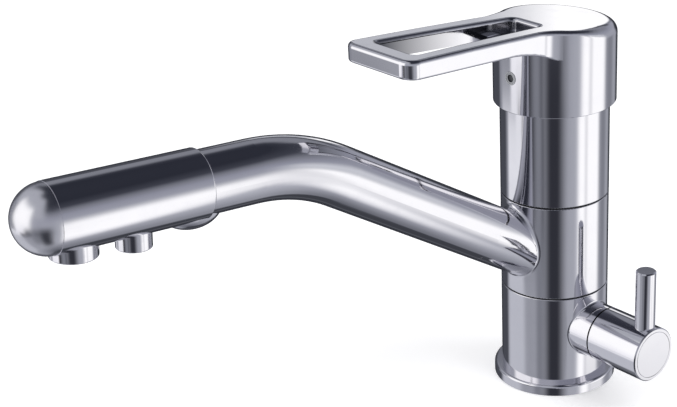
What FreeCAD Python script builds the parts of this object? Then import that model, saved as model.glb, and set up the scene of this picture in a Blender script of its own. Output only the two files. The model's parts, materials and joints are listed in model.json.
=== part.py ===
"""Three way filtered water tap, modelled piece by piece.

Frame: millimetres, +Z up, origin at the centre of the base on the worktop.
The lever handle points along -Y, the filtered water valve along +X.
Every piece is its own object with its own label, and is written to parts/LABEL.step.
"""
import FreeCAD, Part
import math
import os

import Sketcher

X_AXIS = FreeCAD.Vector(1, 0, 0)
Y_AXIS = FreeCAD.Vector(0, 1, 0)
Z_AXIS = FreeCAD.Vector(0, 0, 1)

# ---------------------------------------------------------------- driving dimensions

SIZES = {
    # body column
    "body_radius": 24.0,
    "ring_radius": 27.5,
    "ring_height": 4.8,
    "spigot_radius": 21.0,
    "deck_clearance": 0.8,
    "recess_radius": 18.5,
    "recess_top": 8.0,
    "neck_radius": 19.5,
    "neck_bottom": 46.3,
    "neck_top": 90.8,
    "thread_radius": 17.0,
    "thread_top": 97.0,
    "gallery_radius": 16.0,
    "seal_groove_radius": 17.3,
    "seal_groove_width": 2.6,
    "lower_seal": 52.5,
    "middle_seal": 68.6,
    "upper_seal": 86.3,
    "filtered_gallery_low": 55.5,
    "filtered_gallery_high": 65.8,
    "mixed_gallery_low": 71.5,
    "mixed_gallery_high": 83.3,
    "thread_relief": 124.0,
    "housing_top": 137.0,
    "running_gap": 0.08,
    "face_gap": 0.05,
    "slide_ring_height": 0.6,
    "edge_break": 0.3,
    # waterways and fixings in the base
    "port_radius": 4.5,
    "port_depth": 12.0,
    "waterway_radius": 3.2,
    "inlet_side": 8.0,
    "inlet_back": 7.5,
    "outlet_front": 10.5,
    "filtered_port_side": 13.0,
    "filtered_port_front": 5.0,
    "stud_radius": 3.4,
    "stud_side": 8.0,
    "stud_front": 10.0,
    "stud_depth": 14.0,
    "riser_radius": 2.5,
    # mixing cartridge
    "case_radius": 17.5,
    "case_bore": 16.0,
    "case_bottom": 97.4,
    "case_shoulder": 126.0,
    "case_top": 131.0,
    "base_plate_top": 103.0,
    "fixed_disc_top": 107.0,
    "moving_disc_radius": 11.0,
    "moving_disc_top": 111.0,
    "carrier_top": 119.5,
    "turret_flange_radius": 15.4,
    "turret_neck_radius": 12.5,
    "turret_top": 134.0,
    "handle_pivot": 130.3,
    "pin_radius": 1.5,
    "stem_width": 9.0,
    "stem_depth": 7.0,
    "stem_neck": 124.0,
    "stem_top": 153.8,
    "stem_ball_height": 118.0,
    "stem_ball_radius": 3.4,
    "nut_radius": 20.8,
    "nut_top": 133.5,
    "dome_top": 142.5,
    "dome_opening": 16.5,
    "dome_wall": 1.2,
    # lever handle
    "blank_top": 190.0,
    "blank_half_width": 40.0,
    "skirt_radius": 26.8,
    "skirt_wall": 1.6,
    "skirt_rim": 133.3,
    "cavity_roof": 157.0,
    "crown_back": 167.0,
    "crown_back_reach": -30.0,
    "lever_reach": 101.0,
    "lever_tip_top": 179.4,
    "lever_top_bend": 4000.0,
    "lever_root_half_width": 16.8,
    "lever_tip_half_width": 20.6,
    "lever_tip_corner": 6.0,
    "underside_start_reach": 12.0,
    "underside_start": 155.6,
    "underside_flat_reach": 45.0,
    "underside_flat": 166.4,
    "underside_end": 171.4,
    "underside_bend": 76.0,
    "root_blend": 16.0,
    "crown_round": 5.0,
    "strap_round": 1.8,
    "underside_round": 1.2,
    "window_inner_reach": 16.7,
    "window_through_reach": 31.0,
    "window_outer_reach": 91.0,
    "window_inner_half_width": 8.2,
    "window_outer_half_width": 12.2,
    "window_floor": 166.5,
    "window_corner": 2.6,
    "window_brim": 1.8,
    "boss_radius": 9.5,
    "boss_bottom": 142.0,
    "grub_height": 149.0,
    "index_radius": 3.0,
    # spout
    "spout_root": 55.6,
    "spout_rise": 32.0,
    "spout_swing": 5.3,
    "tube_radius": 13.0,
    "tube_bore": 11.4,
    "stub_length": 50.0,
    "socket_depth": 6.0,
    "socket_radius": 12.2,
    "junction_fillet": 2.0,
    "bend_reach": 133.8,
    "bend_radius": 85.0,
    "head_rise": 3.2,
    "head_reach": 122.2,
    "pipe_radius": 3.5,
    "pipe_bore": 2.5,
    "pipe_offset": 6.0,
    "mixed_offset": 6.5,
    # spout head
    "head_radius": 14.2,
    "head_bore": 12.6,
    "cap_length": 14.0,
    "head_rear": 77.5,
    "head_seat": 60.0,
    "aerator_place": 23.7,
    "aerator_radius": 9.5,
    "aerator_seat": 14.6,
    "aerator_bottom": 17.0,
    "filter_place": 48.7,
    "filter_radius": 7.2,
    "filter_seat": 15.2,
    "filter_bottom": 19.4,
    "hump_place": 73.5,
    "hump_length": 13.5,
    "hump_radius": 9.5,
    "hump_depth": 17.5,
    # filtered water valve
    "valve_height": 29.1,
    "branch_radius": 12.3,
    "branch_end": 31.5,
    "chamber_radius": 8.4,
    "chamber_end": 13.0,
    "knob_start": 32.0,
    "knob_end": 59.6,
    "knob_bore": 10.8,
    "knob_web": 47.0,
    "knob_recess": 57.2,
    "lever_pin_place": 54.3,
    "lever_pin_radius": 4.4,
    "lever_pin_top": 67.9,
    "spindle_radius": 3.5,
}


class Dim:
    """A number together with the sheet expression that gives it."""

    def __init__(self, number, text=None):
        self.number = float(number)
        self.text = text or repr(self.number)

    def joined(self, other, sign, number):
        return Dim(number, f"({self.text} {sign} {as_dim(other).text})")

    def __add__(self, other):
        return self.joined(other, "+", self.number + as_dim(other).number)

    def __radd__(self, other):
        return as_dim(other) + self

    def __sub__(self, other):
        return self.joined(other, "-", self.number - as_dim(other).number)

    def __rsub__(self, other):
        return as_dim(other) - self

    def __mul__(self, other):
        return self.joined(other, "*", self.number * as_dim(other).number)

    def __rmul__(self, other):
        return as_dim(other) * self

    def __truediv__(self, other):
        return self.joined(other, "/", self.number / as_dim(other).number)

    def __neg__(self):
        return as_dim(0) - self


def as_dim(value):
    """Return a Dim, whether the value is one already or a plain number."""
    return value if isinstance(value, Dim) else Dim(value)


def sine(degrees):
    return Dim(math.sin(math.radians(degrees.number)), f"sin({degrees.text})")


def cosine(degrees):
    return Dim(math.cos(math.radians(degrees.number)), f"cos({degrees.text})")


def tangent(degrees):
    return Dim(math.tan(math.radians(degrees.number)), f"tan({degrees.text})")


class Sizes:
    """Gives each alias of the sheet as a Dim attribute."""

    def __init__(self, table):
        for alias, number in table.items():
            setattr(self, alias, Dim(number, f"sizes.{alias}"))


def fill_sheet(document, table):
    sheet = document.addObject("Spreadsheet::Sheet", "sizes")
    for row, (alias, number) in enumerate(table.items(), start=1):
        sheet.set(f"A{row}", alias.replace("_", " "))
        sheet.set(f"B{row}", str(number))
        sheet.setAlias(f"B{row}", alias)
    document.recompute()
    return sheet


doc = FreeCAD.newDocument("filtered_water_tap")
fill_sheet(doc, SIZES)
d = Sizes(SIZES)
PIECES = []

# ---------------------------------------------------------------- frames of the sub-assemblies


def spin(axis, degrees, base=None):
    """A placement that turns about an axis and then moves to base."""
    return FreeCAD.Placement(base or FreeCAD.Vector(), FreeCAD.Rotation(axis, degrees))


def spout_point(distance, offset=0.0):
    """A point on the rising tube's axis, offset at right angles to it, before the spout swings."""
    rise = math.radians(d.spout_rise.number)
    y = -distance * math.cos(rise) + offset * math.sin(rise)
    z = d.spout_root.number + distance * math.sin(rise) + offset * math.cos(rise)
    return FreeCAD.Vector(0, y, z)


def tube_frame(distance, offset=0.0):
    """Local +Z runs up the rising tube, local +Y points to the outside of its bend."""
    return SWING * spin(X_AXIS, 90 - d.spout_rise.number, spout_point(distance, offset))


def head_frame():
    """Local +Z runs from the tip of the head back to the bend, local +Y points down."""
    rise = math.radians(d.head_rise.number)
    bend = spout_point(d.bend_reach.number / math.cos(math.radians(d.spout_rise.number)))
    along = FreeCAD.Vector(0, -math.cos(rise), math.sin(rise))
    return SWING * spin(X_AXIS, -90 - d.head_rise.number, bend + along * d.head_reach.number)


def nozzle_frame(place):
    """Local +Z points out of a nozzle, from the head's axis."""
    return head_frame() * spin(X_AXIS, -90, FreeCAD.Vector(0, 0, place.number))


SWING = spin(Z_AXIS, -d.spout_swing.number)
VALVE = spin(Y_AXIS, 90, FreeCAD.Vector(0, 0, d.valve_height.number))

# ---------------------------------------------------------------- sketches and features


def new_body(label, placement=None):
    body = doc.addObject("PartDesign::Body", label)
    body.Label = label
    if placement is not None:
        body.Placement = placement
    PIECES.append(body)
    return body


def new_sketch(body, plane, shift=0.0):
    """A sketch on one of the body's origin planes, moved along that plane's normal."""
    sketch = body.newObject("Sketcher::SketchObject", body.Label + "_sketch")
    support = next(item for item in body.Origin.OriginFeatures if item.Role == plane)
    sketch.AttachmentSupport = [(support, "")]
    sketch.MapMode = "FlatFace"
    sketch.setExpression("AttachmentOffset.Base.z", as_dim(shift).text)
    return sketch


def tilted_sketch(body, distance):
    """A sketch square to the rising tube, at a distance along it from the tap's axis."""
    sketch = new_sketch(body, "XY_Plane")
    rise = math.radians(d.spout_rise.number)
    sketch.AttachmentOffset = spin(X_AXIS, math.degrees(math.pi / 2 - rise), spout_point(distance.number))
    sketch.setExpression("AttachmentOffset.Base.y", (-distance * cosine(d.spout_rise)).text)
    height = d.spout_root + distance * sine(d.spout_rise)
    sketch.setExpression("AttachmentOffset.Base.z", height.text)
    return sketch


def pin_point(sketch, edge, end, x, y):
    """Hold one end of an edge at a place given by two expressions."""
    for kind, value in (("DistanceX", as_dim(x)), ("DistanceY", as_dim(y))):
        index = sketch.addConstraint(Sketcher.Constraint(kind, -1, 1, edge, end, value.number))
        sketch.setExpression(f"Constraints[{index}]", value.text)


def join_ends(sketch, edges):
    for first, second in zip(edges, edges[1:] + edges[:1]):
        sketch.addConstraint(Sketcher.Constraint("Coincident", first, 2, second, 1))


def draw_outline(sketch, corners):
    """A closed outline of straight lines through the corners."""
    places = [FreeCAD.Vector(as_dim(x).number, as_dim(y).number, 0) for x, y in corners]
    edges = []
    for start, end in zip(places, places[1:] + places[:1]):
        edges.append(sketch.addGeometry(Part.LineSegment(start, end), False))
    join_ends(sketch, edges)
    for edge, (x, y) in zip(edges, corners):
        pin_point(sketch, edge, 1, x, y)


def draw_circle(sketch, radius, x=0.0, y=0.0):
    centre = FreeCAD.Vector(as_dim(x).number, as_dim(y).number, 0)
    edge = sketch.addGeometry(Part.Circle(centre, Z_AXIS, as_dim(radius).number), False)
    pin_point(sketch, edge, 3, x, y)
    index = sketch.addConstraint(Sketcher.Constraint("Radius", edge, as_dim(radius).number))
    sketch.setExpression(f"Constraints[{index}]", as_dim(radius).text)


def draw_box(sketch, low_x, low_y, high_x, high_y):
    draw_outline(sketch, [(low_x, low_y), (high_x, low_y), (high_x, high_y), (low_x, high_y)])


def feature(body, kind, sketch, length, backwards=False, symmetric=False):
    """A pad or a pocket of a sketch, its length bound to the sheet."""
    item = body.newObject("PartDesign::" + kind, body.Label + "_" + kind.lower())
    item.Profile = sketch
    item.setExpression("Length", as_dim(length).text)
    item.Reversed = backwards
    if symmetric:
        item.SideType = "Symmetric"
    doc.recompute()
    return item


def pad(body, sketch, length, backwards=False, symmetric=False):
    return feature(body, "Pad", sketch, length, backwards, symmetric)


def pocket(body, sketch, length, backwards=False, symmetric=False):
    """Cut against the sketch's normal, or along it when backwards is set."""
    before = body.Shape.Volume
    item = feature(body, "Pocket", sketch, length, backwards, symmetric)
    if before - body.Shape.Volume < 1e-3:
        raise ValueError(f"{body.Label}: a pocket removed nothing")
    return item


def drill(body, plane, start, length, radius, x=0.0, y=0.0, backwards=False):
    """A round hole from a plane at start, running against the plane's normal."""
    sketch = new_sketch(body, plane, start)
    draw_circle(sketch, radius, x, y)
    return pocket(body, sketch, length, backwards)


def raise_disc(body, plane, start, length, radius, x=0.0, y=0.0, backwards=False):
    """A round pad from a plane at start, running along the plane's normal."""
    sketch = new_sketch(body, plane, start)
    draw_circle(sketch, radius, x, y)
    return pad(body, sketch, length, backwards)


def turn(body, corners, kind="Revolution"):
    """Turn an outline of (radius, height) corners about the body's Z axis."""
    sketch = new_sketch(body, "XZ_Plane")
    draw_outline(sketch, corners)
    item = body.newObject("PartDesign::" + kind, body.Label + "_turned")
    item.Profile = sketch
    item.ReferenceAxis = (sketch, ["V_Axis"])
    item.Angle = 360
    doc.recompute()
    return item


def turned_piece(label, corners, placement=None):
    body = new_body(label, placement)
    turn(body, corners)
    return body


def ring_piece(label, inner, outer, low, high, placement=None):
    return turned_piece(label, [(inner, low), (outer, low), (outer, high), (inner, high)], placement)


def is_rim(edge, radius, height):
    """True for a circular edge of a radius, centred on the local Z axis at a height."""
    curve = edge.Curve
    if not hasattr(curve, "Radius"):
        return False
    same_size = abs(curve.Radius - radius.number) < 1e-4
    on_axis = math.hypot(curve.Center.x, curve.Center.y) < 1e-4
    return same_size and on_axis and abs(curve.Center.z - height.number) < 1e-4


def local_edges(body):
    """Numbered edges of the tip feature, in the body's own frame."""
    return list(enumerate(body.Tip.Shape.Edges, start=1))


def dress(body, kind, size, numbers):
    """Fillet or chamfer the edges with these numbers."""
    if not numbers:
        raise ValueError(f"{body.Label}: no edge found to {kind.lower()}")
    base = body.Tip
    item = body.newObject("PartDesign::" + kind, body.Label + "_" + kind.lower())
    item.Base = (base, [f"Edge{number}" for number in numbers])
    item.setExpression("Radius" if kind == "Fillet" else "Size", as_dim(size).text)
    doc.recompute()
    return item


def dress_rims(body, kind, size, rims):
    """Fillet or chamfer the circular edges given as (radius, height)."""
    numbers = []
    for number, edge in local_edges(body):
        if any(is_rim(edge, as_dim(radius), as_dim(height)) for radius, height in rims):
            numbers.append(number)
    return dress(body, kind, size, numbers)


def o_rings(label, placement, rings):
    """Round-section rings given as (major radius, minor radius, x, y, z), kept as separate solids."""
    group = doc.addObject("Part::Compound", label)
    group.Label = label
    links = []
    for major, minor, x, y, z in rings:
        ring = doc.addObject("Part::Torus", label + "_ring")
        ring.setExpression("Radius1", as_dim(major).text)
        ring.setExpression("Radius2", as_dim(minor).text)
        for axis, value in (("x", x), ("y", y), ("z", z)):
            ring.setExpression("Placement.Base." + axis, as_dim(value).text)
        links.append(ring)
    group.Links = links
    group.Placement = placement
    PIECES.append(group)
    return group


# ---------------------------------------------------------------- body column


def make_base():
    ring_inner = d.spigot_radius + d.face_gap
    groove = 1.6
    ring = turned_piece("base_ring", [
        (ring_inner, 0), (22.5, 0), (22.5, groove), (25.5, groove), (25.5, 0),
        (d.ring_radius, 0), (d.ring_radius, d.ring_height), (ring_inner, d.ring_height)])
    dress_rims(ring, "Fillet", 1.2, [(d.ring_radius, d.ring_height)])
    ring_piece("base_gasket", 22.6, 25.4, 0, groove)


def seal_groove(height):
    half = d.seal_groove_width / 2
    return [(d.neck_radius, height - half), (d.seal_groove_radius, height - half),
            (d.seal_groove_radius, height + half), (d.neck_radius, height + half)]


def gallery(low, high):
    return [(d.neck_radius, low), (d.gallery_radius, low), (d.gallery_radius, high), (d.neck_radius, high)]


def make_lower_body():
    """Column below the spout, the neck that the spout turns on, and the valve's branch."""
    body = new_body("lower_body")
    outline = [(0, d.deck_clearance), (d.spigot_radius, d.deck_clearance), (d.spigot_radius, d.ring_height),
               (d.body_radius, d.ring_height), (d.body_radius, d.neck_bottom),
               (d.neck_radius, d.neck_bottom)]
    outline += seal_groove(d.lower_seal)
    outline += gallery(d.filtered_gallery_low, d.filtered_gallery_high)
    outline += seal_groove(d.middle_seal)
    outline += gallery(d.mixed_gallery_low, d.mixed_gallery_high)
    outline += seal_groove(d.upper_seal)
    outline += [(d.neck_radius, d.neck_top), (d.thread_radius, d.neck_top),
                (d.thread_radius, d.thread_top), (0, d.thread_top)]
    turn(body, outline)
    dress_rims(body, "Fillet", d.edge_break, [(d.body_radius, d.neck_bottom)])
    raise_disc(body, "YZ_Plane", 10, d.branch_end - 10, d.branch_radius, 0, d.valve_height)
    round_branch_root(body)
    drill(body, "XY_Plane", 0, d.recess_top, d.recess_radius, backwards=True)
    for side in (-1, 1):
        inlet = (d.inlet_side * side, d.inlet_back)
        drill(body, "XY_Plane", d.recess_top, d.port_depth, d.port_radius, *inlet, backwards=True)
        drill(body, "XY_Plane", d.recess_top, d.thread_top - d.recess_top, d.waterway_radius, *inlet,
              backwards=True)
    filtered = (d.filtered_port_side, -d.filtered_port_front)
    drill(body, "XY_Plane", d.recess_top, d.port_depth, d.port_radius, *filtered, backwards=True)
    drill(body, "XY_Plane", d.recess_top, d.valve_height - d.recess_top - 2, d.waterway_radius, *filtered,
          backwards=True)
    drill(body, "XY_Plane", d.recess_top, d.stud_depth, d.stud_radius, -d.stud_side, -d.stud_front,
          backwards=True)
    drill(body, "YZ_Plane", d.branch_end, d.branch_end - d.chamber_end, d.chamber_radius, 0, d.valve_height)
    drill(body, "YZ_Plane", d.chamber_end, d.chamber_end, d.riser_radius, 0, d.valve_height)
    filtered_outlet = (d.filtered_gallery_low + d.filtered_gallery_high) / 2
    drill(body, "XY_Plane", d.valve_height, filtered_outlet - d.valve_height, d.riser_radius, backwards=True)
    drill(body, "XZ_Plane", d.neck_radius, d.neck_radius, d.riser_radius, 0, filtered_outlet)
    mixed_outlet = (d.mixed_gallery_low + d.mixed_gallery_high) / 2
    drill(body, "XY_Plane", d.thread_top, d.thread_top - mixed_outlet, d.waterway_radius, 0, -d.outlet_front)
    drill(body, "XZ_Plane", d.neck_radius, d.neck_radius - d.outlet_front, d.waterway_radius,
          0, mixed_outlet)


def round_branch_root(body):
    """A small blend where the valve's branch leaves the column."""
    numbers = []
    for number, edge in local_edges(body):
        box = edge.BoundBox
        inside = box.XMin > d.body_radius.number * 0.8 and box.XMax < d.body_radius.number + 0.1
        if inside and box.YLength > d.branch_radius.number and box.ZLength > d.branch_radius.number * 0.9:
            numbers.append(number)
    dress(body, "Fillet", 1.0, numbers)


def make_neck_rings():
    inner = d.neck_radius + d.running_gap
    outer = d.body_radius - 0.6
    low, high = d.neck_bottom, d.neck_top
    ring_piece("lower_slide_ring", inner, outer, low, low + d.slide_ring_height)
    ring_piece("upper_slide_ring", inner, outer, high - d.slide_ring_height, high)
    minor = (d.neck_radius - d.seal_groove_radius) / 2
    major = d.seal_groove_radius + minor
    heights = (d.lower_seal, d.middle_seal, d.upper_seal)
    o_rings("neck_seals", FreeCAD.Placement(), [(major, minor, 0, 0, height) for height in heights])


def make_upper_body():
    bore = d.case_radius + 0.2
    thread = d.nut_radius + 0.1
    body = turned_piece("upper_body", [
        (d.thread_radius, d.neck_top), (d.body_radius, d.neck_top), (d.body_radius, d.housing_top),
        (thread, d.housing_top), (thread, d.thread_relief), (bore, d.thread_relief), (bore, d.thread_top),
        (d.thread_radius, d.thread_top)])
    dress_rims(body, "Fillet", d.edge_break, [(d.body_radius, d.neck_top)])


# ---------------------------------------------------------------- mixing cartridge


def make_cartridge_fixed():
    neck_inner = d.turret_neck_radius + 0.2
    neck_outer = neck_inner + 2.6
    roof = d.case_shoulder - 0.5
    turned_piece("cartridge_case", [
        (d.case_bore, d.case_bottom), (d.case_radius, d.case_bottom), (d.case_radius, d.case_shoulder),
        (neck_outer, d.case_shoulder), (neck_outer, d.case_top), (neck_inner, d.case_top),
        (neck_inner, roof), (d.case_bore, roof)])
    plate = new_body("cartridge_base")
    raise_disc(plate, "XY_Plane", d.case_bottom, d.base_plate_top - d.case_bottom, d.case_bore)
    disc = new_body("fixed_ceramic_disc")
    raise_disc(disc, "XY_Plane", d.base_plate_top, d.fixed_disc_top - d.base_plate_top, d.case_bore - 0.1)
    ports = [(-d.inlet_side, d.inlet_back), (d.inlet_side, d.inlet_back), (as_dim(0), -d.outlet_front)]
    for x, y in ports:
        drill(plate, "XY_Plane", d.base_plate_top, d.base_plate_top - d.case_bottom, d.waterway_radius, x, y)
        drill(plate, "XY_Plane", d.case_bottom, 1.0, 4.7, x, y, backwards=True)
        drill(disc, "XY_Plane", d.fixed_disc_top, d.fixed_disc_top - d.base_plate_top, 2.8, x, y)
    rings = [(4.0, 0.68, x, y, d.thread_top + 0.7) for x, y in ports]
    o_rings("cartridge_seals", FreeCAD.Placement(), rings)
    nut = ring_piece("retaining_nut", neck_outer + 0.1, d.nut_radius, d.case_shoulder, d.nut_top)
    slot = new_sketch(nut, "XY_Plane", d.nut_top)
    draw_box(slot, neck_outer - 1, -2, d.nut_radius - 1.5, 2)
    notch = pocket(nut, slot, 3)
    pattern = nut.newObject("PartDesign::PolarPattern", "spanner_notches")
    pattern.Originals = [notch]
    pattern.Axis = (slot, ["N_Axis"])
    pattern.Angle = 360
    pattern.Occurrences = 4
    nut.Tip = pattern


def make_dome_cap():
    """Thin turned cap that closes the gap below the handle when it is lifted."""
    lip = d.nut_radius - 0.1
    shoulder = d.housing_top + 1.0
    turned_piece("dome_cap", [
        (lip - d.dome_wall, d.nut_top + 1), (lip, d.nut_top + 1), (lip, d.housing_top),
        (d.body_radius, d.housing_top), (d.body_radius - 0.4, shoulder + 0.8), (22.0, shoulder + 2.6),
        (19.6, shoulder + 3.9), (d.dome_opening, d.dome_top), (d.dome_opening, d.dome_top - d.dome_wall),
        (19.0, shoulder + 2.6), (lip - d.dome_wall, shoulder + 0.8)])


def make_turret():
    turret = turned_piece("cartridge_turret", [
        (0, d.carrier_top + 0.3), (d.turret_flange_radius, d.carrier_top + 0.3),
        (d.turret_flange_radius, d.case_shoulder - 0.6), (d.turret_neck_radius, d.case_shoulder - 0.6),
        (d.turret_neck_radius, d.turret_top), (0, d.turret_top)])
    window = new_sketch(turret, "XY_Plane", d.turret_top)
    half = d.stem_width / 2 + 0.3
    draw_box(window, -half, -8.5, half, 5.6)
    pocket(turret, window, d.turret_top - d.carrier_top)
    drill(turret, "YZ_Plane", 13, 26, d.pin_radius, 0, d.handle_pivot)
    pin = new_body("pivot_pin")
    raise_disc(pin, "YZ_Plane", -12, 24, d.pin_radius, 0, d.handle_pivot)


def make_mixing_slide():
    carrier = new_body("disc_carrier")
    raise_disc(carrier, "XY_Plane", d.moving_disc_top, d.carrier_top - d.moving_disc_top, 11.3)
    drill(carrier, "XY_Plane", d.carrier_top, 5.6, d.stem_ball_radius + 0.25)
    disc = new_body("moving_ceramic_disc")
    low = d.fixed_disc_top + d.face_gap
    raise_disc(disc, "XY_Plane", low, d.moving_disc_top - low, d.moving_disc_radius)
    mixing = new_sketch(disc, "XY_Plane", low)
    draw_box(mixing, -6, -8.5, 6, 2)
    pocket(disc, mixing, 2.2, backwards=True)


# ---------------------------------------------------------------- lever handle


def lever_plan(body):
    """The lever seen from above: narrow at the crown, widest near the tip."""
    sketch = new_sketch(body, "XY_Plane", d.underside_start)
    half = [(d.lever_root_half_width, -5), (d.lever_tip_half_width, -d.lever_reach)]
    draw_outline(sketch, half + [(-x, y) for x, y in reversed(half)])
    return sketch


def side_region(body, arc_start, arc_end, radius, limit, straight_to=None):
    """A region of the side view, bounded by the arc and by a horizontal line at limit.

    Points are (reach, height); the lever's reach is measured along -Y.
    """
    sketch = new_sketch(body, "YZ_Plane")
    start = FreeCAD.Vector(-arc_start[0].number, arc_start[1].number, 0)
    end = FreeCAD.Vector(-arc_end[0].number, arc_end[1].number, 0)
    chord = end - start
    down = FreeCAD.Vector(-chord.y, chord.x, 0).normalize()
    centre = (start + end) / 2 + down * math.sqrt(radius.number ** 2 - (chord.Length / 2) ** 2)
    first = math.atan2(start.y - centre.y, start.x - centre.x)
    last = math.atan2(end.y - centre.y, end.x - centre.x)
    circle = Part.Circle(centre, Z_AXIS, radius.number)
    arc = sketch.addGeometry(Part.ArcOfCircle(circle, first, last), False)
    start_side, end_side = 1, 2
    pin_point(sketch, arc, start_side, -arc_start[0], arc_start[1])
    pin_point(sketch, arc, end_side, -arc_end[0], arc_end[1])
    index = sketch.addConstraint(Sketcher.Constraint("Radius", arc, radius.number))
    sketch.setExpression(f"Constraints[{index}]", radius.text)
    ends = [arc_end] if straight_to is None else [arc_end, straight_to]
    corners = ends + [(ends[-1][0], limit), (arc_start[0], limit), arc_start]
    lines = []
    for (r1, z1), (r2, z2) in zip(corners, corners[1:]):
        p = FreeCAD.Vector(-as_dim(r1).number, as_dim(z1).number, 0)
        q = FreeCAD.Vector(-as_dim(r2).number, as_dim(z2).number, 0)
        lines.append(sketch.addGeometry(Part.LineSegment(p, q), False))
    sketch.addConstraint(Sketcher.Constraint("Coincident", arc, end_side, lines[0], 1))
    for first_line, second_line in zip(lines, lines[1:]):
        sketch.addConstraint(Sketcher.Constraint("Coincident", first_line, 2, second_line, 1))
    sketch.addConstraint(Sketcher.Constraint("Coincident", lines[-1], 2, arc, start_side))
    for line, (reach, height) in list(zip(lines, corners))[1:]:
        pin_point(sketch, line, 1, -as_dim(reach), height)
    return sketch


def make_lever_handle():
    """Hollow skirt, sloping crown and an open strap lever, cast in one piece."""
    blank = new_body("lever_blank")
    PIECES.remove(blank)
    low = d.underside_start
    raise_disc(blank, "XY_Plane", low, d.blank_top - low, d.skirt_radius)
    pad(blank, lever_plan(blank), d.blank_top - low)
    dress(blank, "Fillet", d.root_blend, upright_edges(blank, d.skirt_radius))
    dress(blank, "Fillet", d.lever_tip_corner, upright_edges(blank, d.lever_reach))
    beyond = d.lever_reach + 2
    underside = side_region(blank, (d.underside_start_reach, d.underside_start),
                            (d.underside_flat_reach, d.underside_flat), d.underside_bend,
                            d.skirt_rim, (beyond, d.underside_end))
    pocket(blank, underside, d.blank_half_width * 2, symmetric=True)
    round_underside(blank)
    raise_disc(blank, "XY_Plane", d.skirt_rim, d.blank_top - d.skirt_rim, d.skirt_radius)
    top = side_region(blank, (d.crown_back_reach, d.crown_back), (beyond, d.lever_tip_top),
                      d.lever_top_bend, d.blank_top + 5)
    pocket(blank, top, d.blank_half_width * 2, symmetric=True)
    handle = round_outline(blank)
    cut_window(handle)
    hollow_skirt(handle)


def upright_edges(body, reach):
    """Upright edges in front: those on the skirt's circle, or those as far out as the lever's tip."""
    numbers = []
    for number, edge in local_edges(body):
        box = edge.BoundBox
        upright = box.XLength < 0.01 and box.YLength < 0.01 and box.ZLength > 5
        on_circle = abs(math.hypot(box.XMin, box.YMin) - reach.number) < 0.01
        at_front = abs(box.YMin + reach.number) < 0.01
        if upright and box.YMax < -1 and (on_circle or at_front):
            numbers.append(number)
    return numbers


def round_underside(body):
    """Round the edge where the lever's sides and tip meet its arched underside."""
    numbers = []
    for number, edge in local_edges(body):
        middle = edge.CenterOfMass
        in_front = middle.y < -d.underside_start_reach.number - 1
        if in_front and edge.BoundBox.ZMax < d.underside_end.number + 0.4:
            numbers.append(number)
    dress(body, "Fillet", d.underside_round, numbers)


def round_outline(blank):
    """Round the outer edge of the top face: wide over the crown, narrow along the strap."""
    radii = []
    for number, edge in enumerate(blank.Shape.Edges, start=1):
        if lies_on_top(edge):
            first, last = [outline_radius(end.Point) for end in (edge.Vertexes[0], edge.Vertexes[-1])]
            radii.append((number, first, last))
    rounded = doc.addObject("Part::Fillet", "rounded_blank")
    rounded.Base = blank
    rounded.Edges = radii
    doc.recompute()
    body = new_body("lever_handle")
    body.BaseFeature = rounded
    doc.recompute()
    return body


def outline_radius(place):
    """The rounding's radius at a point of the outline."""
    on_crown = math.hypot(place.x, place.y) < d.skirt_radius.number + 0.2
    return d.crown_round.number if on_crown else d.strap_round.number


def top_height(reach):
    """Height of the handle's top surface at a distance in front of the axis."""
    start = (d.crown_back_reach.number, d.crown_back.number)
    end = (d.lever_reach.number + 2, d.lever_tip_top.number)
    share = (reach - start[0]) / (end[0] - start[0])
    chord = math.dist(start, end)
    bulge = share * (1 - share) * chord ** 2 / (2 * d.lever_top_bend.number)
    return start[1] + (end[1] - start[1]) * share + bulge


def window_half_width(reach):
    """Half the finger window's width at a distance in front of the axis."""
    spread = d.window_outer_half_width - d.window_inner_half_width
    share = (reach - d.window_inner_reach) / (d.window_outer_reach - d.window_inner_reach)
    return d.window_inner_half_width + spread * share


def window_outline(body, inner_reach, outer_reach):
    inner, outer = window_half_width(inner_reach), window_half_width(outer_reach)
    sketch = new_sketch(body, "XY_Plane", d.blank_top)
    draw_outline(sketch, [(inner, -inner_reach), (outer, -outer_reach), (-outer, -outer_reach),
                          (-inner, -inner_reach)])
    return sketch


def lies_on_top(edge):
    middle = edge.valueAt((edge.FirstParameter + edge.LastParameter) / 2)
    return edge.BoundBox.ZMin > d.crown_back.number - 1 and middle.z > top_height(-middle.y) - 0.05


def cut_window(body):
    """The finger window: open through the lever, a shallow pocket over the crown."""
    through = window_outline(body, d.window_through_reach, d.window_outer_reach)
    pocket(body, through, d.blank_top - d.skirt_rim)
    shallow = window_outline(body, d.window_inner_reach, d.window_through_reach + 0.5)
    pocket(body, shallow, d.blank_top - d.window_floor)
    ends = (d.window_inner_reach.number, d.window_outer_reach.number)
    corners = []
    for number, edge in local_edges(body):
        box = edge.BoundBox
        upright = box.XLength < 0.01 and box.YLength < 0.01
        if upright and in_window(edge) and any(abs(box.YMin + reach) < 0.01 for reach in ends):
            corners.append(number)
    dress(body, "Fillet", d.window_corner, corners)
    brim = [number for number, edge in local_edges(body) if in_window(edge) and lies_on_top(edge)]
    dress(body, "Fillet", d.window_brim, brim)


def in_window(edge):
    box = edge.BoundBox
    across = max(abs(box.XMin), abs(box.XMax)) < d.window_outer_half_width.number + 0.1
    return across and box.YMin > -d.window_outer_reach.number - 0.1


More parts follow.
